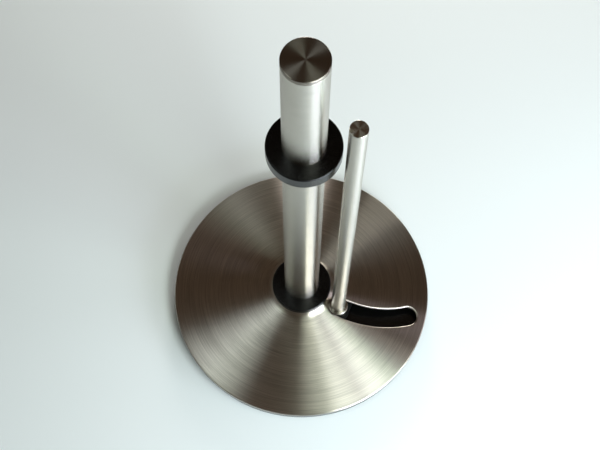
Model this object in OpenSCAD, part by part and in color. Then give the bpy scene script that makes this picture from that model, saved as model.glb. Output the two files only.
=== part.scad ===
// Free-standing paper towel holder.
// A weighted conical base carries a central post with two centring rings and
// a sprung tension rod, which swings on a pivot hidden under the cone.
// Millimetres. The origin is the centre of the foot on the table, +Z is up.

/* [Base] */
// Diameter of the conical steel cover
base_d = 170; // [140:1:205]
// Height of the cover's outer edge above the table
rim_z = 9; // [8.8:0.1:12]
// Slope of the cone in degrees
cone_slope = 6.9; // [5:0.1:9]
// Thickness of the steel cover
sheet_t = 1.2; // [0.9:0.1:1.4]
// Height of the turned-down edge of the cover
lip_drop = 1.6; // [1.3:0.1:2]
// Height of the raised neck above the run of the cone
neck_rise = 1.55; // [1:0.05:2.5]
// Width of the curved flare between the neck and the cone
flare_w = 4; // [3:0.1:6]
// Thickness of the floor and wall of the bottom pan
pan_t = 1.4; // [1.2:0.1:1.6]
// Thickness of the rubber ring under the pan
foot_t = 1; // [0.8:0.1:1.2]
// Width of the rubber ring
foot_w = 9; // [5:0.5:12]

/* [Post] */
// Height of the top of the post above the table
post_top = 314; // [250:1:380]
// Outside diameter of the post
post_d = 22.2; // [18:0.1:28]
// Wall thickness of the post's tube
tube_wall = 1.5; // [1:0.1:2]
// Thickness of the solid cap that closes the post
cap_t = 2.6; // [2:0.1:5]
// Bevel round the top of the cap
cap_bevel = 0.6; // [0.3:0.1:1]

/* [Rings] */
// Outside diameter of both centring rings
ring_d = 38.5; // [32:0.5:47]
// Height of the lower ring
lower_ring_h = 4.5; // [3:0.1:8]
// Height of the upper ring
upper_ring_h = 8.2; // [6:0.1:12]
// Height of the upper ring's top above the table
upper_ring_top = 232; // [180:1:240]
// Radius on the edges of the rings
ring_round = 0.8; // [0.4:0.1:1.2]

/* [Tension rod] */
// Diameter of the tension rod
rod_d = 9; // [7:0.1:11]
// Height of the top of the rod above the table
rod_top = 277; // [220:1:340]
// Bevel round the top of the rod
rod_bevel = 0.4; // [0.2:0.1:0.8]
// Gap between the rod at rest and the rings
rod_gap = 4; // [3.2:0.1:8]
// Direction of the rod at rest, in degrees from +X
rod_angle = -28.6; // [-40:0.1:-15]
// Direction of the pivot, in degrees from +X
pivot_angle = 43; // [35:0.1:55]
// Distance of the pivot inside the edge of the base
pivot_inset = 12.2; // [12.2:0.1:16]
// Distance of the rod inside the edge of the base when it is swung out
rod_out_inset = 12; // [12:0.1:20]
// Thickness of the swing arm
arm_t = 2.2; // [2:0.1:2.4]
// Width of the swing arm
arm_w = 14; // [12:0.5:16]
// Wire diameter of the torsion spring
wire_d = 1; // [0.8:0.1:1]

/* [Hardware] */
// Diameter of the bolt up the middle
bolt_d = 8; // [6:1:8]
// Length of that bolt under its head
bolt_len = 30; // [28:1:36]
// Diameter of the screws that hold the pan
screw_d = 3; // [2.5:0.5:3.5]
// Length of those screws
screw_len = 7; // [6:0.5:8]

/* [Hidden] */
$fn = 96;
eps = 0.01;
track_step = 0.02;

// Clearances: between pressed or seated pieces, on the running pin, between
// stacked moving faces, beside anything that swings, above and below it, and
// round it in the weight
seat_gap = 0.03;
run_gap = 0.05;
face_gap = 0.05;
swing_gap = 0.25;
swing_air = 0.4;
pocket_gap = 1.5;

// Cover: a cone that rises into a short flared neck
base_r = base_d / 2;
ring_r = ring_d / 2;
post_r = post_d / 2;
bore_r = post_r - tube_wall;
function cone_z(r) = rim_z + (base_r - r) * tan(cone_slope);
function inside_z(r) = cone_z(r) - sheet_t / cos(cone_slope);
neck_z = cone_z(ring_r) + neck_rise;
slope_normal = [sin(cone_slope), cos(cone_slope)];
flare_start = [ring_r + flare_w, cone_z(ring_r + flare_w)];
flare_span = [ring_r, neck_z] - flare_start;
flare_radius = (flare_span * flare_span) / (2 * flare_span * slope_normal);
flare_centre = flare_start + flare_radius * slope_normal;
flare_a0 = -90 - cone_slope;
flare_a1 = atan2(neck_z - flare_centre[1], ring_r - flare_centre[0]);
edge_round = 1;
edge_centre = [base_r - edge_round,
    cone_z(base_r - edge_round * (1 - sin(cone_slope))) - edge_round * cos(cone_slope)];
lip_z = rim_z - lip_drop;
neck_under_z = neck_z - sheet_t;
neck_under_r = flare_centre[0]
    - sqrt(pow(flare_radius + sheet_t, 2) - pow(flare_centre[1] - neck_under_z, 2));
function flare_z(r) = flare_centre[1]
    - sqrt(pow(flare_radius, 2) - pow(flare_centre[0] - r, 2));

// Pan and weight
pan_r = base_r - 0.3;
pan_floor_z = foot_t + pan_t;
pan_round = 1;
pan_bevel = 0.5;
pan_hole_r = 13;
foot_inset = 4.5;
foot_r = pan_r - foot_inset;
weight_air = 0.5;
weight_r = pan_r - pan_t - 2.3;
boss_r = ring_r - 2.75;
web_t = 6.8;
well_z = neck_under_z - web_t;
well_r = 12.5;
bolt_r = bolt_d / 2;
bolt_hole_r = bolt_r + 0.2;
screw_r = screw_d / 2;
screw_head_r = screw_r + pan_t;
screw_ring_r = base_r - 25;
screw_angles = [80, 150, 220, 290];

// Bolt stack under the post, downwards from the roof of the well
clamp_washer_t = 1.6;
clamp_washer_r = 12;
lock_washer_t = 2;
lock_washer_r = 7.4;
bolt_head_h = 5.3;
bolt_head_af = 13;
lock_washer_z = well_z - clamp_washer_t - lock_washer_t;
plug_h = 20;
cap_spigot = 8;

// Where the arm swings: the pivot, the rod at rest and the rod swung out
rod_r = rod_d / 2;
rod_offset = ring_r + rod_gap + rod_r;
pivot_r = base_r - pivot_inset;
pivot = pivot_r * [cos(pivot_angle), sin(pivot_angle)];
rod_at = rod_offset * [cos(rod_angle), sin(rod_angle)];
arm_len = norm(rod_at - pivot);
arm_angle = atan2(rod_at[1] - pivot[1], rod_at[0] - pivot[0]);
function angle_at_pivot(r) =
    acos((pow(pivot_r, 2) + pow(arm_len, 2) - pow(r, 2)) / (2 * pivot_r * arm_len));
swing = angle_at_pivot(base_r - rod_out_inset) - angle_at_pivot(rod_offset);
arm_far_end = pivot + arm_len * around(arm_angle + swing);

// Arm and ferrule, from the table up
hub_r = 8;
arm_end_r = 7.5;
hub_top = inside_z(pivot_r + hub_r) - swing_air;
arm_z = hub_top - arm_t;
ferrule_r = rod_r + 1.2;
flange_r = rod_r + 1.9;
flange_z = flare_z(rod_offset - flange_r) + swing_air;
flange_t = 1.2;
flange_round = 0.55;
dish_depth = 0.4;
dish_r = rod_r + 0.9;
slot_half = ferrule_r + swing_gap;

// Pivot stack
pin_r = 3;
pin_tail_r = 2.5;
bush_r = 4.5;
thrust_t = 0.5;
hub_z = pan_floor_z + thrust_t + face_gap;
washer_t = 0.5;
clip_t = 0.6;
groove_depth = 0.6;
hub_sink_z = hub_top - washer_t - clip_t - 2 * face_gap - swing_air;
hub_sink_r = 6.6;
clip_z = hub_sink_z + washer_t + 2 * face_gap;
pin_top = clip_z + clip_t + swing_air + 0.1;

// Torsion spring round the hub, with one leg on the pan and one on the arm
wire_r = wire_d / 2;
coil_gap = 0.8;
coil_air = 0.1;
coil_r = hub_r + coil_gap + wire_r;
coil_z = pan_floor_z + coil_air + wire_r;
coil_rise = arm_z - coil_air - wire_r - coil_z;
coil_turns = floor(coil_rise / wire_d);
leg_len = 9;
leg_grip = 1.5;
leg_a1 = arm_angle - atan2(leg_len, coil_r);
leg_a0 = leg_a1 - 360 * coil_turns;
peg_r = 1.5;
tab_r = 1.2;
function around(a) = [cos(a), sin(a)];
function tangent(a) = [-sin(a), cos(a)];
fixed_leg_end = pivot + coil_r * around(leg_a0) - leg_len * tangent(leg_a0);
moving_leg_end = pivot + coil_r * around(leg_a1) + leg_len * tangent(leg_a1);
spring_peg_at = fixed_leg_end + leg_grip * tangent(leg_a0)
    + (wire_r + peg_r + face_gap) * around(leg_a0);
arm_tab_at = moving_leg_end - leg_grip * tangent(leg_a1)
    + (wire_r + tab_r + face_gap) * around(leg_a1);
spring_peg_top = coil_z + 2;
arm_tab_z = coil_z + coil_rise - wire_r - 0.6;

// Rubber-sleeved stops, one on each side of the arm's travel
stop_r = 3.5;
stop_at_len = 40;
stop_side = arm_w / 2 + stop_r + swing_gap;
stop_top = hub_top - 0.3;
stops = [
    pivot + stop_at_len * around(arm_angle) - stop_side * tangent(arm_angle),
    pivot + stop_at_len * around(arm_angle + swing) + stop_side * tangent(arm_angle + swing)];

// Screw that holds the rod on the arm
rod_screw_r = 2;
rod_screw_len = 14;

function arc(c, r, a0, a1, n) = [for (i = [0:n]) c + r * around(a0 + (a1 - a0) * i / n)];

// Closed profile of a ring from r0 to r1 and z0 to z1, its outer edges rounded
module ring_profile(r0, r1, z0, z1, edge) {
    translate([r0, z0]) square([r1 - edge - r0, z1 - z0]);
    translate([r0, z0 + edge]) square([r1 - r0, z1 - z0 - 2 * edge]);
    for (z = [z0 + edge, z1 - edge])
        translate([r1 - edge, z]) circle(edge);
}

module disc(r, z0, z1) {
    translate([0, 0, z0]) cylinder(h = z1 - z0, r = r);
}

module washer(r_in, r_out, z, t) {
    difference() {
        disc(r_out, z, z + t);
        disc(r_in, z - eps, z + t + eps);
    }
}

// Triangle-like wedge from the pivot that holds every angle of the swing
module swing_wedge(reach) {
    polygon([[0, 0], reach * around(arm_angle), reach * around(arm_angle + swing / 2),
        reach * around(arm_angle + swing)]);
}

// Track of a round thing of radius half, carried at the end of the arm. Its
// round ends are a hair slimmer, so that no two of its walls only graze
module swing_track(half) {
    translate(pivot) {
        intersection() {
            difference() {
                circle(arm_len + half);
                circle(arm_len - half);
            }
            swing_wedge(2 * arm_len);
        }
        for (a = [arm_angle, arm_angle + swing])
            translate(arm_len * around(a)) circle(half - track_step);
    }
}

// Plan of the hollow that the arm, its spring and its stops need
module arm_pocket() {
    reach = arm_len + arm_end_r + pocket_gap - 0.3;
    half = arm_w / 2 + pocket_gap;
    translate(pivot) {
        circle(coil_r + wire_r + pocket_gap);
        intersection() {
            circle(reach);
            swing_wedge(2 * reach);
        }
        for (a = [arm_angle, arm_angle + swing]) {
            rotate(a) translate([0, -half]) square([arm_len, 2 * half]);
            translate(arm_len * around(a)) circle(arm_end_r + pocket_gap);
        }
    }
    for (p = stops) translate(p) circle(stop_r + pocket_gap);
    translate(spring_peg_at) circle(peg_r + 2 * pocket_gap);
    // the strip outside the arm's widest place would be a loose chip
    polygon([pivot, arm_far_end, 1.5 * arm_far_end, 1.5 * pivot]);
}

// ---- pieces that stand still ----

module base_shell() {
    outer = concat(
        [[bolt_hole_r, neck_z], [ring_r, neck_z]],
        arc(flare_centre, flare_radius, flare_a1, flare_a0, 10),
        arc(edge_centre, edge_round, 90 - cone_slope, 0, 6),
        [[base_r, lip_z]]);
    inner = concat(
        [[base_r - sheet_t, lip_z], [base_r - sheet_t, inside_z(base_r - sheet_t)]],
        arc(flare_centre, flare_radius + sheet_t, flare_a0,
            atan2(neck_under_z - flare_centre[1], neck_under_r - flare_centre[0]), 10),
        [[bolt_hole_r, neck_under_z]]);
    color([0.72, 0.70, 0.67])
    difference() {
        rotate_extrude() polygon(concat(outer, inner));
        translate([0, 0, lip_z]) linear_extrude(neck_z) swing_track(slot_half);
    }
}

module base_pan() {
    color([0.08, 0.08, 0.09])
    difference() {
        rotate_extrude() difference() {
            union() {
                translate([0, foot_t]) square([pan_r - pan_round, pan_t]);
                translate([pan_r - pan_round, foot_t + pan_round]) circle(pan_round);
                translate([pan_r - pan_t, foot_t + pan_round])
                    square([pan_t, lip_z - foot_t - pan_round]);
            }
            translate([0, pan_floor_z]) square([pan_r - pan_t, pan_round + lip_z]);
            translate([pan_r, lip_z]) rotate(45)
                square(pan_bevel * sqrt(2), center = true);
        }
        disc(pan_hole_r, foot_t - 1, pan_floor_z + 1);
        for (a = screw_angles)
            translate(screw_ring_r * around(a)) screw_sink(screw_head_r + seat_gap, screw_r + seat_gap);
        translate(pivot) screw_sink(pin_tail_r + pan_t / 2 + seat_gap, pin_tail_r + seat_gap);
        translate(spring_peg_at) disc(peg_r + seat_gap, foot_t - 1, pan_floor_z + 1);
        for (p = stops)
            translate(p) disc(peg_r + seat_gap, foot_t - 1, pan_floor_z + 1);
    }
}

// Countersunk hole through the floor of the pan
module screw_sink(head_r, shank_r) {
    disc(shank_r, foot_t - 1, pan_floor_z + 1);
    translate([0, 0, foot_t - eps])
        cylinder(h = head_r - shank_r + eps, r1 = head_r + eps, r2 = shank_r);
}

module base_weight() {
    color([0.16, 0.16, 0.17])
    difference() {
        rotate_extrude() polygon([
            [bolt_hole_r, pan_floor_z],
            [weight_r, pan_floor_z],
            [weight_r, inside_z(weight_r) - weight_air],
            [boss_r, inside_z(boss_r) - weight_air],
            [boss_r, neck_under_z],
            [bolt_hole_r, neck_under_z]]);
        disc(well_r, pan_floor_z - 1, well_z);
        translate([0, 0, pan_floor_z - 1]) linear_extrude(neck_z) arm_pocket();
        for (a = screw_angles)
            translate(screw_ring_r * around(a))
                disc(screw_r + seat_gap, pan_floor_z - 1, foot_t + screw_len + 0.5);
    }
}

module foot_ring() {
    color([0.05, 0.05, 0.05])
    rotate_extrude() translate([foot_r - foot_w, 0]) ring_profile(0, foot_w, 0, foot_t, 0.2);
}

module pan_screws() {
    color([0.6, 0.6, 0.62])
    for (a = screw_angles) translate(screw_ring_r * around(a))
        difference() {
            union() {
                translate([0, 0, foot_t])
                    cylinder(h = pan_t, r1 = screw_head_r, r2 = screw_r);
                disc(screw_r, foot_t + pan_t, foot_t + screw_len);
            }
            // hexagon socket
            translate([0, 0, foot_t - 1]) cylinder(h = 1 + 1.1, r = 1.15, $fn = 6);
        }
}

module post_bolt() {
    head_r = bolt_head_af / 2 / cos(30);
    head_z = lock_washer_z - bolt_head_h;
    color([0.6, 0.6, 0.62])
    union() {
        translate([0, 0, head_z]) cylinder(h = bolt_head_h, r = head_r, $fn = 6);
        disc(bolt_r, lock_washer_z, lock_washer_z + bolt_len - 1);
        translate([0, 0, lock_washer_z + bolt_len - 1])
            cylinder(h = 1, r1 = bolt_r, r2 = bolt_r - 1);
    }
}

module clamp_washer() {
    color([0.66, 0.66, 0.68])
        washer(bolt_hole_r, clamp_washer_r, well_z - clamp_washer_t, clamp_washer_t);
}

// Split spring washer, cut through on a slant
module lock_washer() {
    color([0.5, 0.5, 0.52])
    difference() {
        washer(bolt_hole_r, lock_washer_r, lock_washer_z, lock_washer_t);
        translate([lock_washer_r / 2 + bolt_hole_r / 2, 0, lock_washer_z + lock_washer_t / 2])
            rotate([25, 0, 0]) cube([lock_washer_r, 0.9, 3 * lock_washer_t], center = true);
    }
}

module post_plug() {
    color([0.55, 0.55, 0.57])
    translate([0, 0, neck_z]) difference() {
        disc(bore_r - seat_gap, 0, plug_h);
        disc(bolt_r + seat_gap, -1, plug_h + 1);
        translate([0, 0, -eps])
            cylinder(h = 1 + eps, r1 = bolt_r + 1, r2 = bolt_r + seat_gap);
    }
}

module post_tube() {
    color([0.78, 0.77, 0.74])
        washer(bore_r, post_r, neck_z, post_top - cap_t - neck_z);
}

module post_cap() {
    color([0.70, 0.69, 0.66])
    rotate_extrude() polygon([
        [0, post_top - cap_t - cap_spigot],
        [bore_r - seat_gap, post_top - cap_t - cap_spigot],
        [bore_r - seat_gap, post_top - cap_t],
        [post_r, post_top - cap_t],
        [post_r, post_top - cap_bevel],
        [post_r - cap_bevel, post_top],
        [0, post_top]]);
}

module centring_ring(z0, z1) {
    color([0.03, 0.03, 0.03])
        rotate_extrude() ring_profile(post_r + seat_gap, ring_r, z0, z1, ring_round);
}

module lower_ring() {
    centring_ring(neck_z, neck_z + lower_ring_h);
}

module upper_ring() {
    centring_ring(upper_ring_top - upper_ring_h, upper_ring_top);
}

// ---- pivot, spring and stops, fixed to the pan ----

module pivot_pin() {
    tail_sink = pan_t / 2;
    color([0.66, 0.66, 0.68])
    translate(pivot) rotate_extrude() polygon([
        [0, foot_t],
        [pin_tail_r + tail_sink, foot_t],
        [pin_tail_r, foot_t + tail_sink],
        [pin_tail_r, pan_floor_z],
        [pin_r, pan_floor_z],
        [pin_r, clip_z],
        [pin_r - groove_depth, clip_z],
        [pin_r - groove_depth, clip_z + clip_t],
        [pin_r, clip_z + clip_t],
        [pin_r, pin_top - 0.3],
        [pin_r - 0.3, pin_top],
        [0, pin_top]]);
}

module thrust_washer() {
    color([0.85, 0.83, 0.76])
        translate(pivot) washer(pin_r + seat_gap, hub_r - 1.5, pan_floor_z, thrust_t);
}

module pivot_washer() {
    color([0.66, 0.66, 0.68])
        translate(pivot)
            washer(pin_r + seat_gap, hub_sink_r - 0.6, hub_sink_z + face_gap, washer_t);
}

// E-shaped clip that snaps into the pin's groove
module retaining_clip() {
    clip_r = hub_sink_r - 1.2;
    groove_r = pin_r - groove_depth + seat_gap;
    color([0.45, 0.45, 0.47])
    translate([pivot[0], pivot[1], clip_z + 0.02]) linear_extrude(clip_t - 0.04)
    difference() {
        circle(clip_r);
        circle(groove_r);
        rotate(pivot_angle) translate([0, -groove_r * 0.8]) square([clip_r + 1, groove_r * 1.6]);
        for (a = [115, 245])
            rotate(pivot_angle + a) translate([(clip_r + groove_r) / 2 - 1.6, 0]) circle(0.9);
    }
}

// Tube of radius r swept along a path that never runs straight up
module wire(path, r, sides) {
    n = len(path);
    function heading(i) = path[min(i + 1, n - 1)] - path[max(i - 1, 0)];
    function side(i) = let (h = heading(i)) [-h[1], h[0], 0] / norm([h[0], h[1]]);
    function lift(i) = let (u = cross(heading(i), side(i))) u / norm(u);
    points = [for (i = [0:n - 1]) for (k = [0:sides - 1])
        path[i] + r * (cos(360 * k / sides) * side(i) + sin(360 * k / sides) * lift(i))];
    walls = [for (i = [0:n - 2]) for (k = [0:sides - 1]) let (m = (k + 1) % sides)
        [i * sides + k, i * sides + m, (i + 1) * sides + m, (i + 1) * sides + k]];
    caps = [[for (k = [sides - 1:-1:0]) k], [for (k = [0:sides - 1]) (n - 1) * sides + k]];
    polyhedron(points, concat(walls, caps), convexity = 6);
}

module torsion_spring() {
    steps = 24 * coil_turns;
    helix = [for (i = [0:steps])
        let (p = pivot + coil_r * around(leg_a0 + (leg_a1 - leg_a0) * i / steps))
        [p[0], p[1], coil_z + coil_rise * i / steps]];
    ends = [[fixed_leg_end[0], fixed_leg_end[1], coil_z],
        [moving_leg_end[0], moving_leg_end[1], coil_z + coil_rise]];
    color([0.5, 0.5, 0.52])
        wire(concat([ends[0]], helix, [ends[1]]), wire_r, 8);
}

module spring_peg() {
    color([0.66, 0.66, 0.68])
        translate(spring_peg_at) disc(peg_r, foot_t, spring_peg_top);
}

module stop_pegs() {
    color([0.66, 0.66, 0.68])
        for (p = stops) translate(p) disc(peg_r, foot_t, stop_top);
}

module stop_sleeves() {
    color([0.05, 0.05, 0.05])
        for (p = stops) translate(p)
            washer(peg_r + seat_gap, stop_r, pan_floor_z, stop_top - pan_floor_z);
}

// ---- swinging arm and what rides on it ----

module swing_arm() {
    color([0.12, 0.12, 0.13])
    difference() {
        union() {
            translate(pivot) disc(hub_r, hub_z, hub_top);
            translate([pivot[0], pivot[1], arm_z]) rotate(arm_angle)
                translate([0, -arm_w / 2, 0]) cube([arm_len, arm_w, arm_t]);
            translate(rod_at) disc(arm_end_r, arm_z, hub_top);
            // tab that the spring's moving leg pushes
            translate(arm_tab_at) disc(tab_r, arm_tab_z, arm_z + eps);
        }
        translate(pivot) {
            disc(bush_r, hub_z - 1, hub_top + 1);
            disc(hub_sink_r, hub_sink_z, hub_top + 1);
        }
        translate(rod_at) {
            disc(rod_screw_r + seat_gap, arm_z - 1, hub_top + 1);
            translate([0, 0, arm_z - eps])
                cylinder(h = rod_screw_r + eps, r1 = 2 * rod_screw_r + eps + seat_gap,
                    r2 = rod_screw_r + seat_gap);
        }
    }
}

module pivot_bush() {
    color([0.80, 0.62, 0.25])
        translate(pivot) washer(pin_r + run_gap, bush_r - seat_gap, hub_z, hub_sink_z - hub_z);
}

module tension_rod() {
    color([0.80, 0.79, 0.76])
    translate(rod_at) difference() {
        rotate_extrude() polygon([
            [0, hub_top],
            [rod_r, hub_top],
            [rod_r, rod_top - rod_bevel],
            [rod_r - rod_bevel, rod_top],
            [0, rod_top]]);
        disc(rod_screw_r + seat_gap, hub_top - 1, arm_z + rod_screw_len + 2);
    }
}

// Turned collar that fills the slot and carries a rounded flange above it
module rod_ferrule() {
    bore = rod_r + seat_gap;
    color([0.75, 0.74, 0.71])
    translate(rod_at) rotate_extrude() difference() {
        union() {
            translate([bore, hub_top]) square([ferrule_r - bore, flange_z - hub_top + eps]);
            ring_profile(bore, flange_r, flange_z, flange_z + flange_t, flange_round);
        }
        // shallow dish round the rod
        translate([0, flange_z + flange_t - dish_depth]) square([dish_r, dish_depth + 1]);
    }
}

module rod_screw() {
    color([0.6, 0.6, 0.62])
    translate(rod_at) difference() {
        union() {
            translate([0, 0, arm_z])
                cylinder(h = rod_screw_r, r1 = 2 * rod_screw_r, r2 = rod_screw_r);
            disc(rod_screw_r, arm_z + rod_screw_r, arm_z + rod_screw_len);
        }
        translate([0, 0, arm_z - 1]) cylinder(h = 1 + 1.4, r = 1.45, $fn = 6);
    }
}

base_shell();
base_pan();
base_weight();
foot_ring();
pan_screws();
post_bolt();
clamp_washer();
lock_washer();
post_plug();
post_tube();
post_cap();
lower_ring();
upper_ring();
pivot_pin();
thrust_washer();
pivot_washer();
retaining_clip();
torsion_spring();
spring_peg();
stop_pegs();
stop_sleeves();
swing_arm();
pivot_bush();
tension_rod();
rod_ferrule();
rod_screw();
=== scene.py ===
"""Looks of a free-standing paper towel holder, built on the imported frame.

The frame gives every piece's size and place. The outer pieces are modelled again here with
their rounded edges and turned faces, and every piece gets the finish of its real material.
Lengths are in metres. The post stands on the Z axis and the front is towards -Y.
"""

import logging
import math
from dataclasses import dataclass
from enum import Enum
from typing import Any, Sequence

import bpy
from mathutils import Matrix, Vector

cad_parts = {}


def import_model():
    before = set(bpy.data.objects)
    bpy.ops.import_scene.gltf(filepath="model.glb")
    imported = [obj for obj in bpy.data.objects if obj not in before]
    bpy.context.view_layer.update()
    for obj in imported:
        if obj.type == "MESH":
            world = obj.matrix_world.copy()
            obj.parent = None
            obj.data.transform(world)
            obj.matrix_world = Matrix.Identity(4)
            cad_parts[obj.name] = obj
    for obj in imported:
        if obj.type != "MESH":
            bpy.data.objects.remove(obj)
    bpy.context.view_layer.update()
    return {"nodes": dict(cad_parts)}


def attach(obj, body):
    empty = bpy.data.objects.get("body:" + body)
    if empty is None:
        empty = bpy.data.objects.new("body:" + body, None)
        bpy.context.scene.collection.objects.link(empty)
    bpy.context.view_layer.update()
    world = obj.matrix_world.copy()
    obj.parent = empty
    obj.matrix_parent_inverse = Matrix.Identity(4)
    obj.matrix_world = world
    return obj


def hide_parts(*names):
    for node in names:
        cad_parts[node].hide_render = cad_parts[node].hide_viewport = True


MM = 0.001
LOG = logging.getLogger("holder")
# points nearer than this, in metres, are one point
WELD = 2e-6
# noise keeps near its middle, so only this part of its range is used
NOISE_LOW, NOISE_HIGH = 0.34, 0.62
GRAIN_LOW, GRAIN_HIGH = 0.3, 0.7
# a turned or brushed face also has wide bands: their fineness and their share of the pattern
BAND_FINENESS, BAND_SHARE = 0.07, 0.2
QUARTER_TURN = 0.25

class Body(Enum):
    """The two rigid bodies that the pieces move with."""

    BASE = "base"
    ARM = "tension_arm"


Point2 = tuple[float, float]
Colour = tuple[float, float, float, float]


# ---- colours and nodes ----


def linear(hex_code: str) -> Colour:
    """Turns an sRGB hex colour into a linear one.

    Args:
        hex_code: Six hexadecimal digits after a hash, such as "#c8c4bc".

    Returns:
        Red, green, blue and alpha, each from 0 to 1.
    """
    parts = [int(hex_code[i : i + 2], 16) / 255 for i in (1, 3, 5)]
    red, green, blue = (
        c / 12.92 if c <= 0.04045 else ((c + 0.055) / 1.055) ** 2.4 for c in parts
    )
    return (red, green, blue, 1.0)


def add(
    tree: bpy.types.NodeTree, kind: str, sockets: dict[Any, Any] | None = None, **settings: Any
) -> bpy.types.Node:
    """Adds a node with its settings, socket values and links.

    Args:
        tree: The node tree that gets the node.
        kind: The node's type name without "ShaderNode".
        sockets: Socket name or number to a value, or to an output socket that is linked to it.
        settings: The node's own properties.

    Returns:
        The new node.
    """
    made = tree.nodes.new("ShaderNode" + kind)
    for key, value in settings.items():
        setattr(made, key, value)
    for key, value in (sockets or {}).items():
        if isinstance(value, bpy.types.NodeSocket):
            tree.links.new(value, made.inputs[key])
        else:
            made.inputs[key].default_value = value
    return made


@dataclass(frozen=True)
class Finish:
    """What every finish shares: a name, a colour and the shader's plain numbers."""

    name: str
    colour: str
    roughness: float
    metallic: float = 0.0
    ior: float = 1.5

    def start(self) -> tuple[bpy.types.Material, bpy.types.NodeTree, bpy.types.Node]:
        """Makes the material with its shader set from the plain numbers.

        Returns:
            The material, its node tree and its shader node.
        """
        material = bpy.data.materials.new(self.name)
        material.use_nodes = True
        tree = material.node_tree
        tree.nodes.clear()
        shader = add(
            tree,
            "BsdfPrincipled",
            {
                "Base Color": linear(self.colour),
                "Roughness": self.roughness,
                "Metallic": self.metallic,
                "IOR": self.ior,
            },
        )
        add(tree, "OutputMaterial", {"Surface": shader.outputs[0]})
        return material, tree, shader

    def make(self) -> bpy.types.Material:
        """Makes the material.

        Returns:
            A plain, even surface.
        """
        return self.start()[0]


@dataclass(frozen=True)
class ToolMarkedSteel(Finish):
    """Steel with the fine parallel marks of a belt, a wheel or a lathe tool.

    The marks pull each reflection out across them, which gives a brushed cover its bright
    and dark sectors and a brushed tube its long soft streaks.
    """

    centre: Point2 = (0.0, 0.0)
    pitch: float = 0.45 * MM
    strokes: float = 3.5
    marks: float = 0.04
    depth: float = 0.004 * MM
    anisotropy: float = 0.8
    metallic: float = 1.0
    dark: str = "#8f8b83"

    def make(self) -> bpy.types.Material:
        """Makes the material.

        Returns:
            A steel whose marks run round the upright axis through centre.
        """
        material, tree, shader = self.start()
        where = add(tree, "TexCoord").outputs["Object"]
        centred = add(
            tree, "Mapping", {"Vector": where, "Location": (-self.centre[0], -self.centre[1], 0)}
        ).outputs[0]
        split = add(tree, "SeparateXYZ", {0: centred})
        flat = add(tree, "CombineXYZ", {0: split.outputs[0], 1: split.outputs[1]}).outputs[0]
        radius = add(tree, "VectorMath", {0: flat}, operation="LENGTH").outputs["Value"]
        turn = add(tree, "VectorMath", {0: flat}, operation="NORMALIZE").outputs[0]
        # faces change in radius and walls in height, so one lane number serves both
        lane = add(tree, "Math", {0: radius, 1: split.outputs[2]}, operation="SUBTRACT").outputs[0]
        # a mark is long along the turn and one pitch wide across it
        across = add(tree, "Math", {0: lane, 1: 1 / self.pitch}, operation="MULTIPLY").outputs[0]
        along = add(
            tree, "VectorMath", {0: turn, "Scale": self.strokes}, operation="SCALE"
        ).outputs[0]
        around = add(tree, "SeparateXYZ", {0: along})
        place = add(
            tree, "CombineXYZ", {0: around.outputs[0], 1: around.outputs[1], 2: across}
        ).outputs[0]
        fine = add(
            tree, "TexNoise", {"Vector": place, "Scale": 1.0, "Detail": 4.0, "Roughness": 0.75}
        ).outputs["Fac"]
        # wide bands come from the pressure of the wheel, a dozen pitches each
        wide_place = add(
            tree, "VectorMath", {0: place, 1: (1.0, 1.0, BAND_FINENESS)}, operation="MULTIPLY"
        ).outputs[0]
        wide = add(
            tree, "TexNoise", {"Vector": wide_place, "Scale": 1.0, "Detail": 2.0}
        ).outputs["Fac"]
        both = add(
            tree, "Mix", {"Factor": BAND_SHARE, "A": fine, "B": wide}, data_type="FLOAT"
        ).outputs[0]
        shade = add(
            tree, "MapRange", {"Value": both, "From Min": NOISE_LOW, "From Max": NOISE_HIGH}
        ).outputs[0]
        tint = add(
            tree, "Mix", {"Factor": shade, 6: linear(self.dark), 7: linear(self.colour)},
            data_type="RGBA",
        )
        tree.links.new(tint.outputs[2], shader.inputs["Base Color"])
        rough = add(
            tree,
            "MapRange",
            {
                "Value": shade,
                "To Min": self.roughness + self.marks,
                "To Max": self.roughness - self.marks,
            },
        ).outputs[0]
        tree.links.new(rough, shader.inputs["Roughness"])
        bump = add(tree, "Bump", {"Height": fine, "Strength": 1.0, "Distance": self.depth})
        tree.links.new(bump.outputs[0], shader.inputs["Normal"])
        shader.inputs["Anisotropic"].default_value = self.anisotropy
        # a quarter turn, because the marks scatter light across themselves
        shader.inputs["Anisotropic Rotation"].default_value = QUARTER_TURN
        lead = add(tree, "Tangent", direction_type="RADIAL", axis="Z").outputs[0]
        tree.links.new(lead, shader.inputs["Tangent"])
        return material


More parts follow.
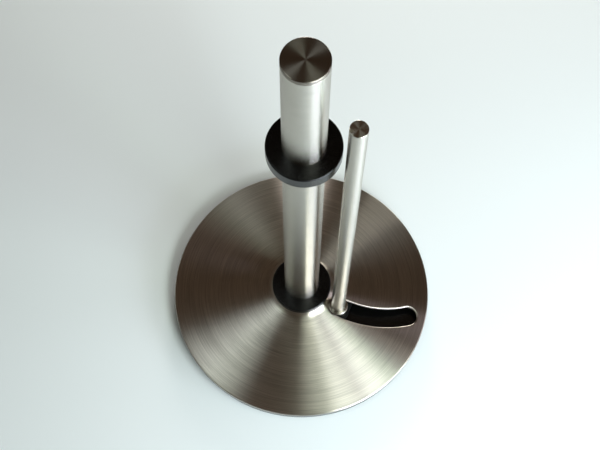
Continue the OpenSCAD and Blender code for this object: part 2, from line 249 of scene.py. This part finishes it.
@dataclass(frozen=True)
class GrainyFinish(Finish):
    """A finish with an even grain: sprayed enamel, moulded plastic, castings or plating."""

    second: str = "#000000"
    grain: float = 0.5 * MM
    depth: float = 0.01 * MM
    spread: float = 0.08
    blotch: float = 9.0 * MM
    coat: float = 0.0

    def make(self) -> bpy.types.Material:
        """Makes the material.

        Returns:
            A surface with fine grain in its relief and wide blotches in colour and gloss.
        """
        material, tree, shader = self.start()
        where = add(tree, "TexCoord").outputs["Object"]
        fine = add(
            tree, "TexNoise", {"Vector": where, "Scale": 1 / self.grain, "Detail": 3.0}
        ).outputs["Fac"]
        wide = add(
            tree, "TexNoise", {"Vector": where, "Scale": 1 / self.blotch, "Detail": 4.0}
        ).outputs["Fac"]
        both = add(
            tree, "Mix", {"Factor": 0.5, "A": fine, "B": wide}, data_type="FLOAT"
        ).outputs[0]
        tint = add(
            tree,
            "Mix",
            {"Factor": both, "A": linear(self.colour), "B": linear(self.second)},
            data_type="RGBA",
        )
        tree.links.new(tint.outputs[2], shader.inputs["Base Color"])
        rough = add(
            tree,
            "MapRange",
            {
                "Value": both,
                "From Min": GRAIN_LOW,
                "From Max": GRAIN_HIGH,
                "To Min": self.roughness - self.spread,
                "To Max": self.roughness + self.spread,
            },
        ).outputs[0]
        tree.links.new(rough, shader.inputs["Roughness"])
        bump = add(tree, "Bump", {"Height": fine, "Strength": 1.0, "Distance": self.depth})
        tree.links.new(bump.outputs[0], shader.inputs["Normal"])
        shader.inputs["Coat Weight"].default_value = self.coat
        return material


# ---- modelling steps that several pieces share ----


def round_corners(corners: Sequence[tuple[float, float, float]], steps: int = 8) -> list[Point2]:
    """Turns a closed outline of corners into points, with an arc at each rounded corner.

    Args:
        corners: (radius, height, rounding) of each corner, in order.
        steps: Number of straight steps in each arc.

    Returns:
        The outline's points.
    """
    points: list[Point2] = []
    count = len(corners)
    for i, (x, z, rounding) in enumerate(corners):
        here = Vector((x, z))
        before = Vector(corners[i - 1][:2]) - here
        after = Vector(corners[(i + 1) % count][:2]) - here
        half = before.angle(after) / 2
        if rounding <= 0 or abs(half - math.pi / 2) < 1e-4:
            points.append((x, z))
            continue
        to_centre = rounding / math.sin(half)
        centre = here + (before.normalized() + after.normalized()).normalized() * to_centre
        reach = rounding / math.tan(half)
        first = here + before.normalized() * reach - centre
        sweep = first.angle_signed(here + after.normalized() * reach - centre)
        for k in range(steps + 1):
            arm = first.copy()
            arm.rotate(Matrix.Rotation(-sweep * k / steps, 2))
            points.append(tuple(centre + arm))
    return points


def turn_piece(
    name: str, outline: Sequence[Point2], centre: Point2 = (0.0, 0.0), steps: int = 192
) -> bpy.types.Object:
    """Turns a closed outline round an upright axis, as on a lathe.

    Args:
        name: The piece's name.
        outline: (radius, height) points in order.
        centre: X and Y of the axis.
        steps: Number of steps round the axis.

    Returns:
        The finished solid, with its place in its mesh.
    """
    bpy.ops.object.select_all(action="DESELECT")
    bpy.ops.mesh.primitive_plane_add(size=MM)
    piece = bpy.context.object
    piece.name = piece.data.name = name
    bpy.ops.object.mode_set(mode="EDIT")
    bpy.ops.mesh.select_mode(type="VERT")
    bpy.ops.mesh.select_all(action="SELECT")
    bpy.ops.mesh.merge(type="CENTER")
    start = Vector((centre[0] + outline[0][0], centre[1], outline[0][1]))
    bpy.ops.transform.translate(value=start)
    for (r0, z0), (r1, z1) in zip(outline, outline[1:]):
        bpy.ops.mesh.extrude_region_move(
            TRANSFORM_OT_translate={"value": (r1 - r0, 0.0, z1 - z0)}
        )
    back = (outline[0][0] - outline[-1][0], 0.0, outline[0][1] - outline[-1][1])
    bpy.ops.mesh.extrude_region_move(TRANSFORM_OT_translate={"value": back})
    bpy.ops.mesh.select_all(action="SELECT")
    # the section's last point closes on its first
    bpy.ops.mesh.remove_doubles(threshold=WELD / 20)
    bpy.ops.mesh.spin(
        steps=steps, angle=math.tau, center=(centre[0], centre[1], 0.0), axis=(0.0, 0.0, 1.0)
    )
    bpy.ops.mesh.select_all(action="SELECT")
    bpy.ops.mesh.remove_doubles(threshold=WELD)
    bpy.ops.mesh.normals_make_consistent(inside=False)
    bpy.ops.object.mode_set(mode="OBJECT")
    return piece


def settle(piece: bpy.types.Object, angle: float = 35.0) -> None:
    """Smooths a piece's faces up to an angle and lets its large faces lead the shading.

    Args:
        piece: The piece.
        angle: Edges sharper than this many degrees stay crisp.
    """
    bpy.ops.object.select_all(action="DESELECT")
    piece.select_set(True)
    bpy.context.view_layer.objects.active = piece
    bpy.ops.object.shade_smooth_by_angle(angle=math.radians(angle), keep_sharp_edges=False)
    lead = piece.modifiers.new("lead", "WEIGHTED_NORMAL")
    lead.keep_sharp = True
    lead.weight = 100
    bpy.ops.object.modifier_apply(modifier=lead.name)


def face_outwards(piece: bpy.types.Object) -> None:
    """Merges a piece's doubled points and points its faces outwards.

    Args:
        piece: The piece, which must be closed.
    """
    bpy.ops.object.select_all(action="DESELECT")
    piece.select_set(True)
    bpy.context.view_layer.objects.active = piece
    bpy.ops.object.mode_set(mode="EDIT")
    bpy.ops.mesh.select_all(action="SELECT")
    bpy.ops.mesh.remove_doubles(threshold=WELD)
    bpy.ops.mesh.normals_make_consistent(inside=False)
    bpy.ops.object.mode_set(mode="OBJECT")


def cut_away(piece: bpy.types.Object, cutter: bpy.types.Object) -> None:
    """Cuts one solid out of another and removes the cutter.

    Args:
        piece: The solid that is cut.
        cutter: The solid that is taken away.
    """
    bpy.ops.object.select_all(action="DESELECT")
    piece.select_set(True)
    bpy.context.view_layer.objects.active = piece
    cut = piece.modifiers.new("cut", "BOOLEAN")
    cut.operation = "DIFFERENCE"
    cut.solver = "EXACT"
    cut.object = cutter
    bpy.ops.object.modifier_apply(modifier=cut.name)
    bpy.data.objects.remove(cutter)
    face_outwards(piece)


def fit(piece: bpy.types.Object, body: Body, node: str) -> None:
    """Puts a new piece on the frame in place of a plain one.

    Args:
        piece: The new piece.
        body: The body that it moves with.
        node: The plain piece that it stands for.
    """
    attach(piece, body.value)
    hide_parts(node)


def dress(piece: bpy.types.Object, material: bpy.types.Material) -> None:
    """Gives a piece one material in place of what it had.

    Args:
        piece: The piece.
        material: Its material.
    """
    if not piece.material_slots:
        piece.data.materials.append(material)
    for slot in piece.material_slots:
        slot.material = material


# ---- the object's sub-assemblies ----


@dataclass
class Base:
    """The weighted base: steel cover, enamelled pan, iron weight, rubber foot and screws.

    The cover is spun sheet. Its slot is pierced and the slot's top edge is rolled over, which
    leaves a bright rounded line along it.
    """

    nodes: dict[str, bpy.types.Object]
    rim_r: float = 85.0 * MM
    rim_z: float = 9.0 * MM
    slope: float = math.radians(6.9)
    sheet: float = 1.2 * MM
    rim_round: float = 1.0 * MM
    lip_z: float = 7.4 * MM
    lip_round: float = 0.25 * MM
    neck_r: float = 19.25 * MM
    neck_rise: float = 1.55 * MM
    flare_width: float = 4.0 * MM
    bolt_hole_r: float = 4.2 * MM
    pivot: Point2 = (53.2425 * MM, 49.6495 * MM)
    track_r: float = 69.2427 * MM
    track_from: float = math.radians(-114.6493)
    track_turn: float = math.radians(39.4411)
    slot_half: float = 5.95 * MM
    slot_round: float = 1.15 * MM
    cutter_low: float = 4.0 * MM
    cutter_high: float = 26.0 * MM
    # spun stainless sheet, brushed on a turntable: fine rings and soft bright sectors; real
    # marks are about 0.1 mm apart and are drawn wider so that they show
    steel: ToolMarkedSteel = ToolMarkedSteel(
        "circular_brushed_stainless_steel", "#d3ccc1", 0.31, pitch=0.5 * MM, strokes=1.8,
        marks=0.03, depth=0.0015 * MM, anisotropy=1.0, dark="#a8a298"
    )
    # stoved enamel on pressed steel: a smooth near-black with a soft sheen
    enamel: GrainyFinish = GrainyFinish(
        "black_baked_enamel", "#0b0b0c", 0.22, grain=1.2 * MM, depth=0.004 * MM, coat=0.3
    )
    # iron as it leaves a sand mould: dull, dark and pitted; its colour is darkened to near-black
    # as painted shade for the inside of the base seen through the slot
    iron: GrainyFinish = GrainyFinish(
        "sand_cast_iron_with_painted_shade", "#141416", 0.7, second="#1e1d1c", grain=0.8 * MM, depth=0.08 * MM
    )
    # pressed nitrile rubber: flat black with no clear highlight
    rubber: GrainyFinish = GrainyFinish(
        "black_nitrile_rubber", "#121212", 0.75, second="#1c1c1b", grain=0.3 * MM
    )

    def cone_z(self, radius: float) -> float:
        """Gives the height of the cover's top at a radius on the plain cone.

        Args:
            radius: Distance from the post's axis.

        Returns:
            The height above the table.
        """
        return self.rim_z + (self.rim_r - radius) * math.tan(self.slope)

    def flare(self) -> tuple[Vector, float, float, float]:
        """Works out the arc that carries the cone up to the neck.

        Returns:
            The arc's centre in radius and height, its radius, and the angles at which it
            leaves the neck and meets the cone.
        """
        neck_z = self.cone_z(self.neck_r) + self.neck_rise
        foot = Vector((self.neck_r + self.flare_width, 0.0))
        foot.y = self.cone_z(foot.x)
        span = Vector((self.neck_r, neck_z)) - foot
        normal = Vector((math.sin(self.slope), math.cos(self.slope)))
        radius = span.dot(span) / (2 * span.dot(normal))
        centre = foot + normal * radius
        at_neck = math.atan2(neck_z - centre.y, self.neck_r - centre.x)
        return centre, radius, at_neck, -math.pi / 2 - self.slope

    def top_z(self, radius: float) -> float:
        """Gives the height of the cover's top at a radius, flare included.

        Args:
            radius: Distance from the post's axis.

        Returns:
            The height above the table.
        """
        centre, arc, _, _ = self.flare()
        if radius >= self.neck_r + self.flare_width:
            return self.cone_z(radius)
        side = centre.x - max(radius, self.neck_r)
        return centre.y - math.sqrt(arc**2 - side**2)

    def cover_outline(self) -> list[Point2]:
        """Draws the section of the cover's sheet.

        Returns:
            (radius, height) points, along the top, round the rim and back underneath.
        """
        centre, arc, at_neck, at_cone = self.flare()
        neck_z = self.top_z(self.neck_r)
        steps, edge_steps = 12, 8
        # both arcs run from the neck outwards; the angle is measured the short way round
        sweep = (at_cone - at_neck + math.pi) % math.tau - math.pi
        turns = [at_neck + sweep * k / steps for k in range(steps + 1)]
        over = [centre + Vector((math.cos(t), math.sin(t))) * arc for t in turns]
        under = [centre + Vector((math.cos(t), math.sin(t))) * (arc + self.sheet) for t in turns]
        under = [p for p in under if p.y < neck_z - self.sheet]
        rim = Vector((self.rim_r - self.rim_round, 0.0))
        rim.y = self.cone_z(rim.x) - self.rim_round / math.cos(self.slope)
        lean = math.pi / 2 - self.slope
        edge = [
            rim + Vector((math.cos(t), math.sin(t))) * self.rim_round
            for t in (lean * (1 - k / edge_steps) for k in range(edge_steps + 1))
        ]
        lip_r = self.rim_r - self.sheet
        soft, nick = self.lip_round, 0.3 * self.lip_round
        inner_z = self.cone_z(lip_r) - self.sheet / math.cos(self.slope)
        points = [(self.bolt_hole_r, neck_z)]
        points += [tuple(p) for p in over + edge]
        points += [(self.rim_r, self.lip_z + soft), (self.rim_r - nick, self.lip_z + nick)]
        points += [(self.rim_r - soft, self.lip_z), (lip_r, self.lip_z), (lip_r, inner_z)]
        points += [tuple(p) for p in reversed(under)]
        points += [(self.bolt_hole_r, neck_z - self.sheet)]
        return points

    def swung(self, reach: float, turn: float) -> Vector:
        """Gives the place that the arm reaches from its pivot.

        Args:
            reach: Distance from the pivot.
            turn: Direction in radians from +X.

        Returns:
            The place in X and Y.
        """
        return Vector(self.pivot) + Vector((math.cos(turn), math.sin(turn))) * reach

    def slot_line(self, half: float, steps: int = 56) -> list[Point2]:
        """Draws the slot's outline at a half width.

        Args:
            half: Half of the slot's width.
            steps: Number of steps along each long side.

        Returns:
            (x, y) points, the same number for every half width.
        """
        first, last = self.track_from, self.track_from + self.track_turn
        sweep = [first + self.track_turn * k / steps for k in range(steps + 1)]
        end_steps = 20
        ends = [math.pi * k / end_steps for k in range(1, end_steps)]
        points = [self.swung(self.track_r + half, t) for t in sweep]
        far, near = self.swung(self.track_r, last), self.swung(self.track_r, first)
        points += [far + Vector((math.cos(last + e), math.sin(last + e))) * half for e in ends]
        points += [self.swung(self.track_r - half, t) for t in reversed(sweep)]
        points += [near - Vector((math.cos(first + e), math.sin(first + e))) * half for e in ends]
        return [tuple(p) for p in points]

    def slot_cutter(self) -> bpy.types.Object:
        """Makes the solid that pierces the slot and rolls its top edge.

        No primitive has this shape, so it is built ring by ring: straight up through the
        sheet, outwards along a quarter round that follows the cone, and on above it.

        Returns:
            The cutter.
        """
        soft, steps = self.slot_round, 10
        quarter = [math.pi / 2 * k / steps for k in range(steps + 1)]
        rings = [(self.slot_half, None, self.cutter_low)]
        rings += [
            (self.slot_half + soft * (1 - math.cos(t)), soft * (1 - math.sin(t)) - WELD, None)
            for t in quarter
        ]
        rings += [(self.slot_half + soft, None, self.cutter_high)]
        corners: list[tuple[float, float, float]] = []
        for half, depth, level in rings:
            for x, y in self.slot_line(half):
                z = level if depth is None else self.top_z(math.hypot(x, y)) - depth
                corners.append((x, y, z))
        count = len(corners) // len(rings)
        faces: list[tuple[int, ...]] = [
            (a * count + i, a * count + (i + 1) % count,
             (a + 1) * count + (i + 1) % count, (a + 1) * count + i)
            for a in range(len(rings) - 1)
            for i in range(count)
        ]
        faces += [tuple(reversed(range(count))), tuple(range(len(corners) - count, len(corners)))]
        mesh = bpy.data.meshes.new("slot_cutter")
        mesh.from_pydata(corners, [], faces)
        cutter = bpy.data.objects.new("slot_cutter", mesh)
        bpy.context.scene.collection.objects.link(cutter)
        face_outwards(cutter)
        return cutter

    def make_cover(self) -> bpy.types.Object:
        """Spins the cover and pierces its slot.

        Returns:
            The cover.
        """
        cover = turn_piece("cover", self.cover_outline(), steps=240)
        cut_away(cover, self.slot_cutter())
        settle(cover)
        dress(cover, self.steel.make())
        fit(cover, Body.BASE, "base_shell")
        return cover

    def build(self) -> list[bpy.types.Object]:
        """Makes the cover and dresses the other pieces of the base.

        Returns:
            The new pieces.
        """
        dress(self.nodes["base_pan"], self.enamel.make())
        dress(self.nodes["base_weight"], self.iron.make())
        rubber = self.rubber.make()
        for name in ("foot_ring", "stop_sleeves"):
            dress(self.nodes[name], rubber)
        return [self.make_cover()]


@dataclass
class Post:
    """The upright post: tube, turned top and the two black rings that centre a roll."""

    nodes: dict[str, bpy.types.Object]
    foot_z: float = 18.5066 * MM
    top_z: float = 314.0 * MM
    radius: float = 11.1 * MM
    wall: float = 1.5 * MM
    cap: float = 2.6 * MM
    cap_round: float = 0.55 * MM
    spigot: float = 8.0 * MM
    seam: float = 0.06 * MM
    ring_r: float = 19.25 * MM
    ring_round: float = 0.8 * MM
    ring_gap: float = 0.03 * MM
    ring_heights: Sequence[tuple[str, float, float]] = (
        ("lower_ring", 18.5066 * MM, 23.0066 * MM),
        ("upper_ring", 223.8 * MM, 232.0 * MM),
    )
    # welded tube finished on a belt grinder as it turns: long sharp streaks down the tube
    tube: ToolMarkedSteel = ToolMarkedSteel(
        "ground_stainless_tube", "#cbc6bc", 0.22, pitch=0.35 * MM, strokes=1.2, marks=0.02,
        depth=0.0006 * MM, anisotropy=1.0, dark="#bfbab0"
    )
    # end face left by a lathe tool; its colour is painted darker than the tube as painted shade,
    # with a faint fan of light round its middle
    turned: ToolMarkedSteel = ToolMarkedSteel(
        "faced_stainless_steel_with_painted_shade", "#958b80", 0.34, pitch=0.3 * MM, anisotropy=0.9
    )
    # injection-moulded nylon from a lightly etched mould: deep black, satin
    plastic: GrainyFinish = GrainyFinish(
        "moulded_black_nylon", "#020202", 0.26, second="#050505", ior=1.4, grain=0.35 * MM,
        depth=0.006 * MM
    )

    def make_tube(self) -> bpy.types.Object:
        """Turns the tube, with a hairline chamfer where the cap seats.

        Returns:
            The tube.
        """
        bore, top = self.radius - self.wall, self.top_z - self.cap
        outline = [
            (bore, self.foot_z), (self.radius, self.foot_z), (self.radius, top - self.seam),
            (self.radius - self.seam, top), (bore, top),
        ]
        tube = turn_piece("tube", outline)
        settle(tube)
        dress(tube, self.tube.make())
        fit(tube, Body.BASE, "post_tube")
        return tube

    def make_cap(self) -> bpy.types.Object:
        """Turns the solid top with its spigot and its rounded edge.

        Returns:
            The top.
        """
        seat, bore = self.top_z - self.cap, self.radius - self.wall - self.ring_gap
        outline = round_corners(
            [
                (0.0, seat - self.spigot, 0.0), (bore, seat - self.spigot, 0.5 * MM),
                (bore, seat, 0.0), (self.radius - self.seam, seat, 0.0),
                (self.radius, seat + self.seam, 0.0), (self.radius, self.top_z, self.cap_round),
                (0.0, self.top_z, 0.0),
            ]
        )
        cap = turn_piece("post_top", outline)
        settle(cap)
        dress(cap, self.turned.make())
        fit(cap, Body.BASE, "post_cap")
        return cap

    def make_rings(self) -> list[bpy.types.Object]:
        """Turns the two rings, each with rounded outer edges and a broken inner edge.

        Returns:
            The rings.
        """
        plastic = self.plastic.make()
        made = []
        for node, low, high in self.ring_heights:
            inner = self.radius + self.ring_gap
            outline = round_corners(
                [
                    (inner, low, 0.0), (self.ring_r, low, self.ring_round),
                    (self.ring_r, high, self.ring_round), (inner, high, 0.25 * MM),
                ]
            )
            ring = turn_piece(f"{node}_moulded", outline)
            settle(ring)
            dress(ring, plastic)
            fit(ring, Body.BASE, node)
            made.append(ring)
        return made

    def build(self) -> list[bpy.types.Object]:
        """Makes the post's pieces.

        Returns:
            The new pieces.
        """
        return [self.make_tube(), self.make_cap(), *self.make_rings()]


@dataclass
class SwingArm:
    """The sprung arm: lever, bush, upright rod and the ferrule at its foot."""

    nodes: dict[str, bpy.types.Object]
    rod_at: Point2 = (24.364 * MM, -13.2837 * MM)
    rod_r: float = 4.5 * MM
    rod_foot_z: float = 7.8995 * MM
    rod_top_z: float = 277.0 * MM
    rod_round: float = 0.4 * MM
    screw_hole_r: float = 2.03 * MM
    screw_hole_z: float = 21.6995 * MM
    sleeve_r: float = 5.7 * MM
    flange_r: float = 6.4 * MM
    flange_z: float = 17.4019 * MM
    flange: float = 1.2 * MM
    flange_round: float = 0.55 * MM
    dish_r: float = 5.4 * MM
    dish: float = 0.4 * MM
    # centreless-ground bar: the same streaks as on the tube, drawn tighter
    bar: ToolMarkedSteel = ToolMarkedSteel(
        "ground_stainless_bar", "#cbc6bc", 0.22, centre=(24.364 * MM, -13.2837 * MM),
        pitch=0.35 * MM, strokes=0.7, marks=0.02, depth=0.0006 * MM, anisotropy=1.0,
        dark="#bfbab0"
    )
    # lathe-turned and left bright: a crisper highlight than the brushed pieces have
    turned: ToolMarkedSteel = ToolMarkedSteel(
        "turned_stainless_steel", "#c4bfb5", 0.25, centre=(24.364 * MM, -13.2837 * MM),
        pitch=0.3 * MM, anisotropy=0.7
    )
    # flat steel dipped in hot oxide: dark grey with little gloss; the dark colour also serves as
    # painted shade for the inside of the base seen through the slot
    oxide_and_painted_shade: GrainyFinish = GrainyFinish(
        "black_oxide_steel_with_painted_shade", "#1b1b1d", 0.5, metallic=0.6, second="#111113",
        grain=0.6 * MM, depth=0.01 * MM
    )
    # plain turned brass: warm yellow with a soft shine
    brass: GrainyFinish = GrainyFinish(
        "turned_brass", "#c9a45a", 0.3, metallic=1.0, second="#b08a44", grain=0.4 * MM
    )

    def make_rod(self) -> bpy.types.Object:
        """Turns the upright rod with its screw hole and its softly rounded top edge.

        Returns:
            The rod.
        """
        outline = round_corners(
            [
                (self.screw_hole_r, self.rod_foot_z, 0.0), (self.rod_r, self.rod_foot_z, 0.0),
                (self.rod_r, self.rod_top_z, self.rod_round), (0.0, self.rod_top_z, 0.0),
                (0.0, self.screw_hole_z, 0.0), (self.screw_hole_r, self.screw_hole_z, 0.0),
            ]
        )
        rod = turn_piece("rod", outline, self.rod_at, steps=128)
        settle(rod)
        dress(rod, self.bar.make())
        fit(rod, Body.ARM, "tension_rod")
        return rod

    def make_ferrule(self) -> bpy.types.Object:
        """Turns the ferrule: a sleeve in the slot under a rounded flange with a shallow dish.

        Returns:
            The ferrule.
        """
        bore, top = self.rod_r + 0.03 * MM, self.flange_z + self.flange
        outline = round_corners(
            [
                (bore, self.rod_foot_z, 0.0), (self.sleeve_r, self.rod_foot_z, 0.2 * MM),
                (self.sleeve_r, self.flange_z, 0.0),
                (self.flange_r, self.flange_z, self.flange_round),
                (self.flange_r, top, self.flange_round), (self.dish_r, top, 0.3 * MM),
                (self.dish_r - 0.35 * MM, top - self.dish, 0.2 * MM),
                (bore, top - self.dish, 0.0),
            ]
        )
        ferrule = turn_piece("ferrule", outline, self.rod_at, steps=128)
        settle(ferrule)
        dress(ferrule, self.turned.make())
        fit(ferrule, Body.ARM, "rod_ferrule")
        return ferrule

    def build(self) -> list[bpy.types.Object]:
        """Makes the rod and the ferrule and dresses the lever and its bush.

        Returns:
            The new pieces.
        """
        dress(self.nodes["swing_arm"], self.oxide_and_painted_shade.make())
        dress(self.nodes["pivot_bush"], self.brass.make())
        return [self.make_rod(), self.make_ferrule()]


@dataclass
class Hardware:
    """The fasteners, the pivot's small parts, the spring and the stops."""

    nodes: dict[str, bpy.types.Object]
    # bright zinc plating: a cool, slightly blue shine
    plated: GrainyFinish = GrainyFinish(
        "bright_zinc_plated_steel", "#bdbfc4", 0.3, metallic=1.0, second="#a3a6ad",
        grain=0.4 * MM, depth=0.003 * MM
    )
    # drawn and tempered wire: dark grey metal with an oiled look
    spring: GrainyFinish = GrainyFinish(
        "drawn_spring_steel", "#5a5a5e", 0.35, metallic=1.0, second="#47474b",
        grain=0.3 * MM, depth=0.003 * MM
    )
    # unpigmented nylon: creamy white and waxy
    nylon: GrainyFinish = GrainyFinish(
        "natural_nylon", "#e6e1d2", 0.45, second="#d8d2c0", grain=0.4 * MM
    )
    plated_nodes: Sequence[str] = (
        "pan_screws", "post_bolt", "clamp_washer", "post_plug", "pivot_pin",
        "pivot_washer", "spring_peg", "stop_pegs", "rod_screw",
    )
    spring_nodes: Sequence[str] = ("lock_washer", "retaining_clip", "torsion_spring")

    def build(self) -> list[bpy.types.Object]:
        """Dresses the hardware.

        Returns:
            No new pieces, because the frame's own shapes are right.
        """
        for finish, names in (
            (self.plated, self.plated_nodes),
            (self.spring, self.spring_nodes),
            (self.nylon, ("thrust_washer",)),
        ):
            material = finish.make()
            for name in names:
                dress(self.nodes[name], material)
        return []


# ---- the studio ----


@dataclass(frozen=True)
class Softbox:
    """A square lamp that looks at the holder from a direction, in degrees."""

    name: str
    azimuth: float
    zenith: float
    power: float
    colour: str
    distance: float = 0.75
    side: float = 0.19
    aim_z: float = 20.0 * MM

    def hang(self) -> bpy.types.Object:
        """Hangs the lamp.

        Returns:
            The lamp, which lights the scene but isn't itself in the view.
        """
        light = bpy.data.lights.new(self.name, "AREA")
        light.size = self.side
        light.energy = self.power
        light.color = linear(self.colour)[:3]
        lamp = bpy.data.objects.new(self.name, light)
        bpy.context.scene.collection.objects.link(lamp)
        out, down = math.radians(self.azimuth), math.radians(self.zenith)
        way = Vector(
            (math.sin(down) * math.cos(out), math.sin(down) * math.sin(out), math.cos(down))
        )
        lamp.location = way * self.distance + Vector((0.0, 0.0, self.aim_z))
        lamp.rotation_euler = way.to_track_quat("Z", "Y").to_euler()
        lamp.visible_camera = False
        return lamp


@dataclass
class Studio:
    """The pale floor, the lamps and the camera."""

    camera_at: tuple[float, float, float] = (0.0, -0.2356, 0.7191)
    pitch: float = 68.30
    yaw: float = -0.31
    roll: float = 0.75
    lens: float = 66.667
    sensor: float = 36.0
    shift: float = -0.0008
    floor_side: float = 6.0
    floor_colour: str = "#eef5f5"
    floor_roughness: float = 0.85
    room_colour: str = "#ffd7b5"
    room_strength: float = 0.069
    lamps: Sequence[Softbox] = (
        Softbox("over_left", 180.0, 20.0, 0.36, "#eefcff"),
        Softbox("over_front", 300.0, 20.0, 0.33, "#ecfff4"),
        Softbox("upper_front_left", 210.0, 35.0, 0.07, "#dcffdc"),
        Softbox("upper_right", 330.0, 35.0, 0.79, "#e7ffee"),
        Softbox("front_right_high", 300.0, 50.0, 1.76, "#f5fff8"),
        Softbox("right_high", 320.0, 50.0, 1.24, "#f5f6ff"),
        Softbox("far_right", 0.0, 65.0, 0.38, "#f9f2ff"),
        Softbox("right_middle", 340.0, 65.0, 0.74, "#fffdfd"),
        Softbox("back_right_low", 58.0, 80.0, 0.48, "#fffdf2"),
        Softbox("back_low", 90.0, 80.0, 3.3, "#fff8f4"),
        Softbox("front_right_low", 300.0, 80.0, 1.93, "#dbe2ff"),
        Softbox("right_low", 315.0, 80.0, 2.94, "#e5ecff"),
        Softbox("far_right_low", 330.0, 80.0, 1.61, "#dbf5ff"),
    )

    def lay_floor(self) -> None:
        """Lays the pale floor under the base."""
        bpy.ops.object.select_all(action="DESELECT")
        bpy.ops.mesh.primitive_plane_add(size=self.floor_side, location=(0.0, 0.0, 0.0))
        floor = bpy.context.object
        floor.name = "floor"
        dress(floor, Finish("pale_floor", self.floor_colour, self.floor_roughness).make())

    def set_camera(self) -> None:
        """Sets the camera where the holder is seen from above its front."""
        pitch, yaw, roll = (math.radians(a) for a in (self.pitch, self.yaw, self.roll))
        ahead = Vector(
            (math.sin(yaw) * math.cos(pitch), math.cos(yaw) * math.cos(pitch), -math.sin(pitch))
        )
        right = ahead.cross(Vector((0.0, 0.0, 1.0))).normalized()
        over = right.cross(ahead)
        side = right * math.cos(roll) + over * math.sin(roll)
        top = over * math.cos(roll) - right * math.sin(roll)
        data = bpy.data.cameras.new("camera")
        data.sensor_width = self.sensor
        data.lens = self.lens
        data.shift_x = self.shift
        camera = bpy.data.objects.new("camera", data)
        bpy.context.scene.collection.objects.link(camera)
        axes = Matrix((side, top, -ahead)).transposed().to_4x4()
        camera.matrix_world = Matrix.Translation(self.camera_at) @ axes
        bpy.context.scene.camera = camera

    def light(self) -> None:
        """Hangs the lamps in a dim warm room."""
        scene = bpy.context.scene
        world = bpy.data.worlds.new("room")
        scene.world = world
        world.use_nodes = True
        back = world.node_tree.nodes["Background"]
        back.inputs["Color"].default_value = linear(self.room_colour)
        back.inputs["Strength"].default_value = self.room_strength
        scene.view_settings.view_transform = "Standard"
        for lamp in self.lamps:
            lamp.hang()

    def build(self) -> None:
        """Sets up the whole studio."""
        self.lay_floor()
        self.set_camera()
        self.light()


def main() -> None:
    """Builds the holder's sub-assemblies in order, then the studio."""
    logging.basicConfig(level=logging.INFO, format="%(name)s: %(message)s")
    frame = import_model()
    nodes = frame["nodes"]
    for part in (Base(nodes), Post(nodes), SwingArm(nodes), Hardware(nodes)):
        for piece in part.build():
            LOG.info("%s: %s, %d faces", type(part).__name__, piece.name, len(piece.data.polygons))
        LOG.info("%s is dressed", type(part).__name__)
    Studio().build()


if __name__ == "__main__":
    main()
